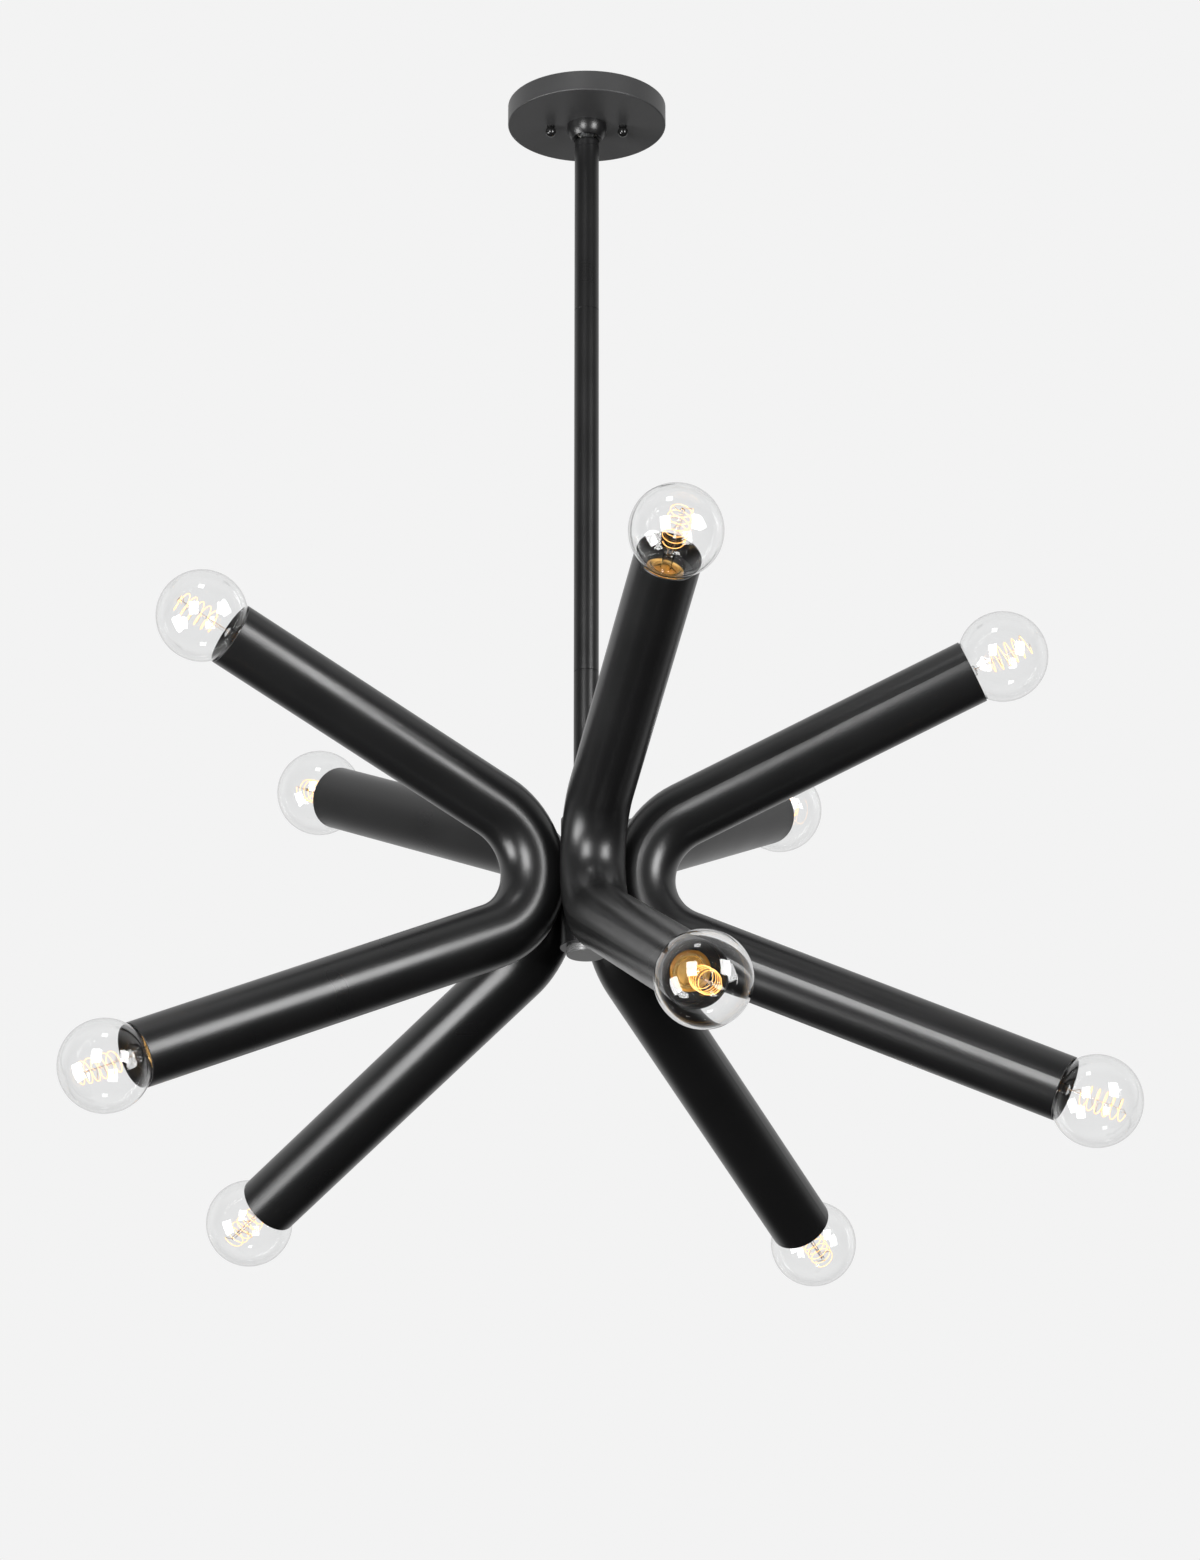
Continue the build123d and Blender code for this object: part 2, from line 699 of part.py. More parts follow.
with BuildPart() as centre_contacts:
    for number, side in legs:
        mouth = mouth_plane(number, side)
        with BuildSketch(mouth.offset(contact_bottom)):
            Circle(contact_diameter / 2)
        extrude(amount=contact_thickness)
        with BuildSketch(mouth.offset(holder_back)):
            Circle(contact_rivet_diameter / 2)
        extrude(amount=contact_bottom - holder_back)
finish(centre_contacts, "centre_contacts")


# ---------------------------------------------------------------- bulbs
# A blown globe runs through a small fillet into a straight neck. Its inner mount is the
# same glass: a flare welded to the neck's end, a tube, a pinch and a long thin rod.
def globe_outline(shrink):
    """Radius of the ball, of the neck and of the fillet, the fillet's centre and its top."""
    ball = globe_r - shrink
    neck = neck_r - shrink
    blend = neck_fillet + shrink
    centre_x = neck + blend
    centre_w = globe_ahead - sqrt((ball + blend) ** 2 - centre_x**2)
    share = ball / (ball + blend)
    top = (centre_x * share, globe_ahead + (centre_w - globe_ahead) * share)
    return ball, neck, blend, (centre_x, centre_w), top


def outline_lines(shrink, end_w):
    """The globe's outline from its crown to the end of its neck."""
    ball, neck, blend, centre, top = globe_outline(shrink)
    half = asin((centre[1] - top[1]) / blend) / 2
    blend_middle = (centre[0] - blend * cos(half), centre[1] - blend * sin(half))
    ThreePointArc((0, globe_ahead + ball), (ball, globe_ahead), top)
    ThreePointArc(top, blend_middle, (neck, centre[1]))
    Line((neck, centre[1]), (neck, end_w))


mount_r = mount_tube_diameter / 2
rod_r = rod_diameter / 2
flare_top_w = neck_end_w + flare_height


def make_globe(mouth):
    """Hollow glass globe with its mount, for one leg."""
    with BuildPart() as globe:
        with BuildSketch(turning_plane(mouth)):
            with BuildLine():
                outline_lines(0, neck_end_w)
                Line((neck_r, neck_end_w), (neck_r - glass_wall, neck_end_w))
                Line((neck_r - glass_wall, neck_end_w), (mount_r - glass_wall, flare_top_w))
                Line((mount_r - glass_wall, flare_top_w), (0, flare_top_w))
                Line((0, flare_top_w), (0, globe_ahead + globe_r))
            make_face()
            with BuildLine():
                outline_lines(glass_wall, neck_end_w + 2 * glass_wall)
                Polyline(
                    (neck_r - glass_wall, neck_end_w + 2 * glass_wall),
                    (mount_r, flare_top_w + glass_wall),
                    (mount_r, mount_top - glass_wall),
                    (mount_r - glass_wall, mount_top),
                    (rod_r, mount_top),
                    (rod_r, rod_top),
                    (0, rod_top),
                    (0, globe_ahead + globe_r - glass_wall),
                )
            make_face(mode=Mode.SUBTRACT)
        revolve(axis=Axis(mouth.origin, mouth.z_dir))
    return globe


def make_bulb_cap(mouth):
    """Screw cap: a thin brass shell, closed by its insulator and tip."""
    outer = bulb_cap_diameter / 2
    inner = outer - bulb_cap_wall
    shell_end = cap_top_w - bulb_cap_length
    insulator_end = shell_end - insulator_height
    insulator_top = shell_end + insulator_inside
    with BuildPart() as bulb_cap:
        with BuildSketch(turning_plane(mouth)):
            with BuildLine():
                Polyline(
                    (inner, cap_top_w),
                    (outer, cap_top_w),
                    (outer, shell_end),
                    (tip_diameter / 2, insulator_end),
                )
                TangentArc((0, tip_w), (tip_diameter / 2, insulator_end), tangent=(1, 0))
                Polyline((0, tip_w), (0, insulator_top), (inner, insulator_top), (inner, cap_top_w))
            make_face()
        revolve(axis=Axis(mouth.origin, mouth.z_dir))
    return bulb_cap


# The filament is one unbroken coil of open turns round the rod. Each half turn is a half
# circle that leans by half the pitch, so the turns run on smoothly, and the outer turns
# draw in. One end stands on the mount's flat top, and a thin return wire runs from there
# to the coil's far end.
coil_r = filament_coil_diameter / 2
coil_end_r = filament_end_diameter / 2
coil_end_w = filament_start + filament_half_turns * filament_pitch / 2
wire_foot_w = mount_top + soldered
wire_place = rod_r + return_wire_diameter


def turn_radius(half):
    """Radius of the coil where a half turn starts."""
    drawn_in = max(0, half - filament_half_turns + filament_tapered_halves)
    return coil_r - (coil_r - coil_end_r) * drawn_in / filament_tapered_halves


def least_self_gap(path, width):
    """Least distance between parts of a path that aren't neighbours, less its width."""
    steps = int(path.length / width)
    points = [path @ (step / steps) for step in range(steps + 1)]
    apart = int(4 * lead_bend / width)
    return min(
        (points[second] - points[first]).length - width * sqrt(2)
        for first in range(len(points))
        for second in range(first + apart, len(points))
    )


def make_filament(mouth):
    """Coiled filament and its return wire, for one leg."""
    def at(x, y, w):
        return mouth.from_local_coords((x, y, w))

    with BuildPart() as filament:
        with BuildLine() as coil:
            FilletPolyline(
                at(wire_place, -wire_place / 2, wire_foot_w),
                at(wire_place, -wire_place / 2, wire_foot_w + lead_rise),
                at(coil_r, -filament_lead, filament_start),
                at(coil_r, 0, filament_start),
                radius=lead_bend,
            )
            for half in range(filament_half_turns):
                sign = 1 if half % 2 == 0 else -1
                low = filament_start + half * filament_pitch / 2
                first_r = turn_radius(half)
                last_r = turn_radius(half + 1)
                lean = sqrt(((first_r + last_r) / 2) ** 2 + (filament_pitch / 4) ** 2)
                ThreePointArc(
                    at(sign * first_r, 0, low),
                    at(sign * (first_r - last_r) / 2, sign * lean, low + filament_pitch / 4),
                    at(-sign * last_r, 0, low + filament_pitch / 2),
                )
            last = -1 if filament_half_turns % 2 else 1
            FilletPolyline(
                at(last * coil_end_r, 0, coil_end_w),
                at(last * coil_end_r, last * filament_lead, coil_end_w),
                at(last * wire_place, 0, coil_end_w),
                radius=lead_bend,
            )
        with BuildSketch(Plane(origin=coil.line @ 0, z_dir=coil.line % 0)):
            Rectangle(filament_width, filament_width)
        sweep(path=coil.line)
        with BuildSketch(mouth.offset(wire_foot_w)):
            with Locations((-wire_place, 0)):
                Circle(return_wire_diameter / 2)
        extrude(amount=coil_end_w + filament_width - wire_foot_w)
    return filament, least_self_gap(coil.wire(), filament_width)


for number, side in legs:
    mouth = mouth_plane(number, side)
    leg = str(number + 1) + "_" + side
    finish(make_globe(mouth), "globe_" + leg)
    finish(make_bulb_cap(mouth), "bulb_cap_" + leg)
    filament, gap = make_filament(mouth)
    finish(filament, "filament_" + leg)
    print("filament", leg, "least gap to itself", round(gap, 2), "mm")
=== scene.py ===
import json
from math import asin, cos, pi, radians, sin

import bpy
from mathutils import Matrix, Vector


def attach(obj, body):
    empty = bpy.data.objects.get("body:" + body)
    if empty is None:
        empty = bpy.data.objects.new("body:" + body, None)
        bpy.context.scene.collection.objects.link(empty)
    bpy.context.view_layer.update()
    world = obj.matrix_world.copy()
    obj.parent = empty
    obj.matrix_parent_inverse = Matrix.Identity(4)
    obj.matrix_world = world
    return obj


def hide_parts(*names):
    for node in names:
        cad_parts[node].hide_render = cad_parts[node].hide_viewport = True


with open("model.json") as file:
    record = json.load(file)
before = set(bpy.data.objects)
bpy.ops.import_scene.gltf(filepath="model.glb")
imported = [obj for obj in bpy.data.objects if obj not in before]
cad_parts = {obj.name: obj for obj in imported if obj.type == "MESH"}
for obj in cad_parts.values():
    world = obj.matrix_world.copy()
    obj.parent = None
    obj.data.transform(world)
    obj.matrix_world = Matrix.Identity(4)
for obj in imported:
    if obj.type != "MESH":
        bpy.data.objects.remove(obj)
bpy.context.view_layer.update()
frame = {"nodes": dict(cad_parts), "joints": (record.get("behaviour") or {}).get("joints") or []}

# A ceiling chandelier: five bent black tubes stand round a post at the end of a long stem,
# and every tube end holds a clear globe lamp with a glowing coiled filament.

# ---------------------------------------------------------------- powder-coated steel
# The canopy, swivel, stem, post and arms are steel under a satin black powder coat. It is
# baked on, with a fine even grain and a gloss that drifts a little, flatter on the canopy.
SATIN_BLACK = (0.007, 0.007, 0.0072, 1)
SATIN_GLOSS = (0.27, 0.33)
# The canopy's copy of the coat is painted a tone lighter than the rest: painted light for the
# light its broad face catches.
CANOPY_PAINTED_LIGHT_TONE = (0.032, 0.032, 0.0325, 1)
CANOPY_GLOSS = (0.38, 0.46)
COAT_GRAIN = 1500.0
COAT_GRAIN_DEPTH = 0.00003
COAT_DRIFT = 14.0
COAT_LIGHTER = 1.25
NOISE_LOW = 0.3
NOISE_HIGH = 0.7


def new_material(name):
    """A material with its nodes, links and main shader."""
    material = bpy.data.materials.new(name)
    material.use_nodes = True
    tree = material.node_tree
    return material, tree.nodes, tree.links, tree.nodes["Principled BSDF"]


def object_noise(nodes, links, scale, detail=2.0):
    """Noise that is fixed to the piece."""
    place = nodes.new("ShaderNodeTexCoord")
    noise = nodes.new("ShaderNodeTexNoise")
    noise.inputs["Scale"].default_value = scale
    noise.inputs["Detail"].default_value = detail
    links.new(place.outputs["Object"], noise.inputs["Vector"])
    return noise.outputs["Fac"]


def spread(nodes, links, value, limits):
    """Spread a noise value between two limits."""
    scaled = nodes.new("ShaderNodeMapRange")
    scaled.inputs["From Min"].default_value = NOISE_LOW
    scaled.inputs["From Max"].default_value = NOISE_HIGH
    scaled.inputs["To Min"].default_value = limits[0]
    scaled.inputs["To Max"].default_value = limits[1]
    links.new(value, scaled.inputs["Value"])
    return scaled.outputs["Result"]


def add_bump(nodes, links, shader, height, depth):
    """Raise the surface by a noise, to a depth in metres."""
    bump = nodes.new("ShaderNodeBump")
    bump.inputs["Strength"].default_value = 1.0
    bump.inputs["Distance"].default_value = depth
    links.new(height, bump.inputs["Height"])
    links.new(bump.outputs["Normal"], shader.inputs["Normal"])


def tinted(nodes, links, shader, value, dark, light):
    """Drift the base colour between two close tones."""
    ramp = nodes.new("ShaderNodeValToRGB")
    ramp.color_ramp.elements[0].color = dark
    ramp.color_ramp.elements[1].color = light
    links.new(value, ramp.inputs["Fac"])
    links.new(ramp.outputs["Color"], shader.inputs["Base Color"])


def coated(name, tone, gloss, grain_depth):
    """Powder coat of one tone, with its range of gloss and its grain."""
    material, nodes, links, shader = new_material(name)
    drift = object_noise(nodes, links, COAT_DRIFT)
    light = tuple(COAT_LIGHTER * part for part in tone[:3]) + (1,)
    tinted(nodes, links, shader, drift, tone, light)
    links.new(spread(nodes, links, drift, gloss), shader.inputs["Roughness"])
    add_bump(nodes, links, shader, object_noise(nodes, links, COAT_GRAIN), grain_depth)
    return material


def dress(material, *names):
    """Give pieces of the frame their finish."""
    for name in names:
        for slot in frame["nodes"][name].material_slots:
            slot.material = material


satin_black = coated("satin_black_coat", SATIN_BLACK, SATIN_GLOSS, COAT_GRAIN_DEPTH)
# The canopy gets the lighter copy of the coat, whose extra lightness is painted light.
canopy_coat_painted_light = coated("satin_black_canopy_painted_light", CANOPY_PAINTED_LIGHT_TONE, CANOPY_GLOSS, COAT_GRAIN_DEPTH)
dress(canopy_coat_painted_light, "canopy")
dress(satin_black, "swivel_socket", "swivel_cap", "swivel_collar")
dress(satin_black, "stem_upper", "stem_middle", "stem_lower")
dress(satin_black, "hub_column", "column_cap", "column_base", "holder_plates")
ARMS = range(1, 6)
for arm in ARMS:
    dress(satin_black, "arm_" + str(arm))

# ---------------------------------------------------------------- ball nuts
# Two ball-headed nuts on studs hold the canopy up. They are turned and lacquered, glossier
# than the canopy that they press on.
GLOSS_BLACK = (0.006, 0.006, 0.006, 1)
LACQUER_GLOSS = (0.12, 0.18)
LACQUER_GRAIN_DEPTH = COAT_GRAIN_DEPTH / 4

gloss_black = coated("gloss_black_lacquer", GLOSS_BLACK, LACQUER_GLOSS, LACQUER_GRAIN_DEPTH)
dress(gloss_black, "ball_nuts")

# ---------------------------------------------------------------- finial
# A blind disc nut closes the post. Fine grooves are turned round its side, and its face is
# left a tone lighter, with faint turning marks.
FINIAL_GREY = (0.20, 0.20, 0.20, 1)
FINIAL_LIGHT = (0.27, 0.27, 0.27, 1)
FINIAL_METAL = 0.6
FINIAL_ROUGHNESS = 0.4
TURNING_RINGS = 900.0

turned_grey, nodes, links, shader = new_material("turned_grey_coat")
place = nodes.new("ShaderNodeTexCoord")
rings = nodes.new("ShaderNodeTexWave")
rings.wave_type = "RINGS"
rings.rings_direction = "Z"
rings.inputs["Scale"].default_value = TURNING_RINGS
links.new(place.outputs["Object"], rings.inputs["Vector"])
tinted(nodes, links, shader, rings.outputs["Fac"], FINIAL_GREY, FINIAL_LIGHT)
shader.inputs["Metallic"].default_value = FINIAL_METAL
shader.inputs["Roughness"].default_value = FINIAL_ROUGHNESS
dress(turned_grey, "finial")

# ---------------------------------------------------------------- plated and plain metal
# The crossbar, studs, nipples, nuts and the swivel's ball are zinc-plated steel. The earth
# screw and the lampholders' contacts are bright brass.
ZINC_DARK = (0.42, 0.43, 0.44, 1)
ZINC_LIGHT = (0.60, 0.61, 0.61, 1)
BRASS_DARK = (0.50, 0.33, 0.11, 1)
BRASS_LIGHT = (0.78, 0.55, 0.22, 1)
ZINC_GLOSS = (0.28, 0.42)
BRASS_GLOSS = (0.14, 0.26)
PLATING_CELLS = 220.0
BRASS_CELLS = 110.0
MOTTLE_DETAIL = 4.0


def bare_metal(name, dark, light, cells, gloss):
    """Bright metal, mottled by its plating or polish."""
    material, nodes, links, shader = new_material(name)
    mottle = object_noise(nodes, links, cells, MOTTLE_DETAIL)
    tinted(nodes, links, shader, mottle, dark, light)
    shader.inputs["Metallic"].default_value = 1.0
    links.new(spread(nodes, links, mottle, gloss), shader.inputs["Roughness"])
    return material


zinc = bare_metal("zinc_plating", ZINC_DARK, ZINC_LIGHT, PLATING_CELLS, ZINC_GLOSS)
dress(zinc, "crossbar", "canopy_studs", "stud_nuts", "swivel_ball")
dress(zinc, "stem_nipples", "arm_nipples", "lock_nuts")
brass = bare_metal("bright_brass", BRASS_DARK, BRASS_LIGHT, BRASS_CELLS, BRASS_GLOSS)
dress(brass, "ground_screw", "centre_contacts")

# ---------------------------------------------------------------- swivel seat and holders
# The swivel's seat ring is moulded nylon, and the lampholders are black phenolic moulding
# with a fine pressed grain.
NYLON = (0.62, 0.60, 0.54, 1)
NYLON_LIGHT = (0.70, 0.68, 0.62, 1)
PHENOLIC = (0.016, 0.014, 0.012, 1)
PHENOLIC_LIGHT = (0.030, 0.026, 0.022, 1)
NYLON_ROUGHNESS = 0.45
PHENOLIC_ROUGHNESS = 0.4
MOULD_GRAIN = 700.0


def moulded(name, dark, light, roughness):
    """Plain moulding with a fine pressed grain."""
    material, nodes, links, shader = new_material(name)
    grain = object_noise(nodes, links, MOULD_GRAIN)
    tinted(nodes, links, shader, grain, dark, light)
    shader.inputs["Roughness"].default_value = roughness
    add_bump(nodes, links, shader, grain, COAT_GRAIN_DEPTH)
    return material


nylon = moulded("moulded_nylon", NYLON, NYLON_LIGHT, NYLON_ROUGHNESS)
dress(nylon, "swivel_seat")
phenolic = moulded("black_phenolic", PHENOLIC, PHENOLIC_LIGHT, PHENOLIC_ROUGHNESS)
dress(phenolic, "lampholders")

# ---------------------------------------------------------------- bulb glass
# Each globe is blown clear glass, under a millimetre thick, drawn in to a short neck. The
# mount is welded into the neck's end: a flare, a tube, and a thin rod with a button end.
# The glass throws no shadow, so that the lamps reach the brass behind it.
GLASS_TINT = (0.985, 0.99, 0.99, 1)
GLASS_CLEAR = (1.0, 1.0, 1.0, 1)
GLASS_STREAKS = 9.0
GLASS_INDEX = 1.45
GLASS_WALL = 0.0008
GLOBE_RADIUS = 0.0397
GLOBE_AHEAD = 0.0295
NECK_RADIUS = 0.01255
NECK_END = -0.0223
NECK_FILLET = 0.010
FILLET_STEPS = 8
GLOBE_SIDES = 96
GLOBE_RINGS = 64
FLARE_SIDES = 48
ROD_SIDES = 16
SMOOTH_ANGLE = radians(40)
WELD_GAP = 0.00002
FLARE_TOP = -0.0135
MOUNT_RADIUS = 0.004
MOUNT_TOP = 0.003
ROD_RADIUS = 0.0012
ROD_TOP = 0.055
BUTTON_RADIUS = 0.0018
CROWN_TO_MOUTH = GLOBE_RADIUS + GLOBE_AHEAD
SIDES = ("upper", "lower")
LEGS = [str(arm) + "_" + side for arm in ARMS for side in SIDES]

clear_glass, nodes, links, shader = new_material("clear_blown_glass")
tinted(nodes, links, shader, object_noise(nodes, links, GLASS_STREAKS), GLASS_TINT, GLASS_CLEAR)
shader.inputs["Roughness"].default_value = 0.0
shader.inputs["IOR"].default_value = GLASS_INDEX
shader.inputs["Transmission Weight"].default_value = 1.0
path = nodes.new("ShaderNodeLightPath")
passing = nodes.new("ShaderNodeBsdfTransparent")
either = nodes.new("ShaderNodeMixShader")
links.new(path.outputs["Is Shadow Ray"], either.inputs["Fac"])
links.new(shader.outputs["BSDF"], either.inputs[1])
links.new(passing.outputs["BSDF"], either.inputs[2])
links.new(either.outputs["Shader"], nodes["Material Output"].inputs["Surface"])


def open_ring(radius, height, sides):
    """A ring of edges round the bulb's axis, in edit mode, ready to be drawn out."""
    bpy.ops.object.select_all(action="DESELECT")
    bpy.ops.mesh.primitive_circle_add(vertices=sides, radius=radius, location=(0, 0, height))
    bpy.ops.object.transform_apply(location=True, rotation=False, scale=False)
    bpy.ops.object.mode_set(mode="EDIT")
    bpy.ops.mesh.select_all(action="SELECT")
    return bpy.context.object


def draw_out(steps, radius, height):
    """Extrude the selected ring through radii and heights, about the bulb's axis."""
    for next_radius, next_height in steps:
        bpy.ops.mesh.extrude_region_move(
            TRANSFORM_OT_translate={"value": (0, 0, next_height - height)}
        )
        grow = next_radius / radius
        bpy.ops.transform.resize(value=(grow, grow, 1), center_override=(0, 0, next_height))
        radius, height = next_radius, next_height


def thickened(piece, wall):
    """Leave edit mode and give the sheet a wall, inwards."""
    bpy.ops.mesh.select_all(action="SELECT")
    bpy.ops.mesh.normals_make_consistent(inside=False)
    bpy.ops.object.mode_set(mode="OBJECT")
    if wall:
        shell = piece.modifiers.new("wall", "SOLIDIFY")
        shell.thickness = wall
        shell.offset = -1
        bpy.ops.object.modifier_apply(modifier="wall")
    bpy.ops.object.shade_smooth_by_angle(angle=SMOOTH_ANGLE)


fillet_x = NECK_RADIUS + NECK_FILLET
fillet_z = GLOBE_AHEAD - ((GLOBE_RADIUS + NECK_FILLET) ** 2 - fillet_x**2) ** 0.5
share = GLOBE_RADIUS / (GLOBE_RADIUS + NECK_FILLET)
shoulder_z = GLOBE_AHEAD + (fillet_z - GLOBE_AHEAD) * share
shoulder_radius = fillet_x * share
turn = asin((shoulder_z - fillet_z) / NECK_FILLET)
neck_steps = [
    (
        fillet_x - NECK_FILLET * cos(turn * (1 - step / FILLET_STEPS)),
        fillet_z + NECK_FILLET * sin(turn * (1 - step / FILLET_STEPS)),
    )
    for step in range(1, FILLET_STEPS + 1)
]
neck_steps.append((NECK_RADIUS, NECK_END))

bpy.ops.object.select_all(action="DESELECT")
bpy.ops.mesh.primitive_uv_sphere_add(
    segments=GLOBE_SIDES,
    ring_count=GLOBE_RINGS,
    radius=GLOBE_RADIUS,
    location=(0, 0, GLOBE_AHEAD),
)
globe_model = bpy.context.object
bpy.ops.object.transform_apply(location=True, rotation=False, scale=False)
bpy.ops.object.mode_set(mode="EDIT")
bpy.ops.mesh.select_all(action="SELECT")
bpy.ops.mesh.bisect(plane_co=(0, 0, shoulder_z), plane_no=(0, 0, 1), clear_inner=True)
draw_out(neck_steps, shoulder_radius, shoulder_z)
thickened(globe_model, GLASS_WALL)

flare_radius = NECK_RADIUS - GLASS_WALL - WELD_GAP
flare_model = open_ring(flare_radius, NECK_END, FLARE_SIDES)
draw_out(
    [
        (flare_radius * 0.8, NECK_END * 0.88),
        (MOUNT_RADIUS * 1.4, FLARE_TOP * 1.1),
        (MOUNT_RADIUS, FLARE_TOP),
        (MOUNT_RADIUS, MOUNT_TOP - GLASS_WALL),
        (MOUNT_RADIUS * 0.75, MOUNT_TOP),
        (MOUNT_RADIUS * 0.1, MOUNT_TOP),
    ],
    flare_radius,
    NECK_END,
)
bpy.ops.mesh.merge(type="CENTER")
thickened(flare_model, GLASS_WALL)

rod_model = open_ring(ROD_RADIUS, MOUNT_TOP + WELD_GAP, ROD_SIDES)
bpy.ops.mesh.edge_face_add()
draw_out(
    [
        (ROD_RADIUS, ROD_TOP - 2 * BUTTON_RADIUS),
        (BUTTON_RADIUS, ROD_TOP - BUTTON_RADIUS),
        (BUTTON_RADIUS * 0.7, ROD_TOP - BUTTON_RADIUS * 0.2),
        (BUTTON_RADIUS * 0.1, ROD_TOP),
    ],
    ROD_RADIUS,
    MOUNT_TOP + WELD_GAP,
)
thickened(rod_model, 0)

bpy.ops.object.select_all(action="DESELECT")
for part in (flare_model, rod_model, globe_model):
    part.select_set(True)
bpy.context.view_layer.objects.active = globe_model
bpy.ops.object.join()


def bulb_axes(leg):
    """A bulb's own axes: its mouth's centre, with Z out along the leg."""
    joint = next(j for j in frame["joints"] if j["name"] == "bulb_" + leg + "_out")
    outward = Vector(joint["axis"]).normalized()
    across = outward.cross(Vector((0, 0, 1))).normalized()
    third = outward.cross(across)
    spots = [spot.co for spot in frame["nodes"]["globe_" + leg].data.vertices]
    middle = Vector((0, 0, 0))
    for side in (across, third):
        reach = [spot.dot(side) for spot in spots]
        middle += side * (max(reach) + min(reach)) / 2
    crown = max(spot.dot(outward) for spot in spots)
    origin = middle + outward * (crown - CROWN_TO_MOUTH)
    turned = Matrix((across, third, outward)).transposed().to_4x4()
    return Matrix.Translation(origin) @ turned


def placed_copy(model, name, axes, material, body):
    """A copy of a model with its own mesh, on a bulb's axes, in its body."""
    copy = model.copy()
    copy.data = model.data.copy()
    copy.name = name
    bpy.context.collection.objects.link(copy)
    copy.data.transform(axes)
    copy.data.materials.append(material)
    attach(copy, body)
    return copy


bulb_places = {leg: bulb_axes(leg) for leg in LEGS}
for leg, axes in bulb_places.items():
    name = "globe_glass_" + leg
    glass = placed_copy(globe_model, name, axes, clear_glass, "bulb_" + leg)
    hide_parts("globe_" + leg)
bpy.data.objects.remove(globe_model)

# ---------------------------------------------------------------- bulb caps and socket rims
# The bulb's cap and the shell it screws into are satin brass. The lampholder's brass lip is
# spun over the plate's hole in fine ridges, and shows as a bright ring deep in each tube.
RIM_FACE = -0.0208
RIM_INNER = 0.0143
RIM_OUTER = 0.0172
RIM_HEIGHT = 0.0012
RIM_RIDGES = 4
RIM_SIDES = 64
MERGE_REACH = 0.00001
SATIN_BRASS_DARK = (0.62, 0.40, 0.13, 1)
SATIN_BRASS_LIGHT = (0.90, 0.66, 0.28, 1)
SATIN_BRASS_GLOSS = (0.36, 0.48)

satin_brass = bare_metal(
    "satin_brass", SATIN_BRASS_DARK, SATIN_BRASS_LIGHT, PLATING_CELLS, SATIN_BRASS_GLOSS
)
dress(satin_brass, "screw_shells")
for leg in LEGS:
    dress(satin_brass, "bulb_cap_" + leg)

ridge = (RIM_OUTER - RIM_INNER) / RIM_RIDGES
valley_height = RIM_FACE + RIM_HEIGHT * 0.5
rim_steps = []
for count in range(RIM_RIDGES):
    near = RIM_INNER + ridge * count
    rim_steps += [(near, valley_height), (near + ridge / 2, RIM_FACE + RIM_HEIGHT)]
rim_steps += [(RIM_OUTER, valley_height), (RIM_OUTER, RIM_FACE), (RIM_INNER, RIM_FACE)]
rim_model = open_ring(RIM_INNER, RIM_FACE, RIM_SIDES)
draw_out(rim_steps, RIM_INNER, RIM_FACE)
bpy.ops.mesh.select_all(action="SELECT")
bpy.ops.mesh.remove_doubles(threshold=MERGE_REACH)
thickened(rim_model, 0)
for leg, axes in bulb_places.items():
    placed_copy(rim_model, "socket_rim_" + leg, axes, satin_brass, "pendant")
bpy.data.objects.remove(rim_model)

# ---------------------------------------------------------------- filaments
# Each filament is one fine wire coiled in open turns round the mount's glass rod, welded to
# a short lead and to a long return wire, with hooked supports between. It glows orange.
COIL_RADIUS = 0.0104
COIL_END_RADIUS = 0.0088
COIL_FOOT_RADIUS = 0.0087
COIL_START = 0.016
COIL_PITCH = 0.0071
COIL_TURNS = 5.5
TAPERED_TURNS = 1.8
FOOT_TURNS = 1.2
TURN_STEPS = 40
EASE = 1.5
WIRE_RADIUS = 0.00016
LEAD_RADIUS = 0.00025
LEAD_FOOT = 0.0031
LEAD_PLACE = 0.002
LEAD_RISE = 0.0065
SUPPORT_RADIUS = 0.0002
SUPPORT_HOOK = 0.0012
SUPPORT_TURNS = (0.6, 1.45, 2.3, 3.15, 4.0, 4.85)
GLOW = (1.0, 0.36, 0.02, 1)
GLOW_HOT = (1.0, 0.50, 0.07, 1)
GLOW_STRENGTH = 3.4
GLOW_CELLS = 60.0
SUPPORT_DARK = (0.42, 0.26, 0.14, 1)
SUPPORT_LIGHT = (0.66, 0.44, 0.26, 1)
SUPPORT_GLOSS = (0.3, 0.5)

glowing, nodes, links, shader = new_material("glowing_filament")
ramp = nodes.new("ShaderNodeValToRGB")
ramp.color_ramp.elements[0].color = GLOW
ramp.color_ramp.elements[1].color = GLOW_HOT
links.new(object_noise(nodes, links, GLOW_CELLS), ramp.inputs["Fac"])
links.new(ramp.outputs["Color"], shader.inputs["Emission Color"])
shader.inputs["Emission Strength"].default_value = GLOW_STRENGTH
shader.inputs["Base Color"].default_value = SUPPORT_DARK
support_metal = bare_metal(
    "support_wire", SUPPORT_DARK, SUPPORT_LIGHT, PLATING_CELLS, SUPPORT_GLOSS
)


def drawn_wire(points, radius, sides=1):
    """A round wire drawn through points."""
    bpy.ops.object.select_all(action="DESELECT")
    bpy.ops.curve.primitive_nurbs_path_add(location=(0, 0, 0))
    wire = bpy.context.object
    wire.data.splines.clear()
    spline = wire.data.splines.new("POLY")
    spline.points.add(len(points) - 1)
    for knot, point in zip(spline.points, points):
        knot.co = (*point, 1)
    wire.data.bevel_depth = radius
    wire.data.bevel_resolution = sides
    wire.data.use_fill_caps = True
    bpy.ops.object.convert(target="MESH")
    return wire


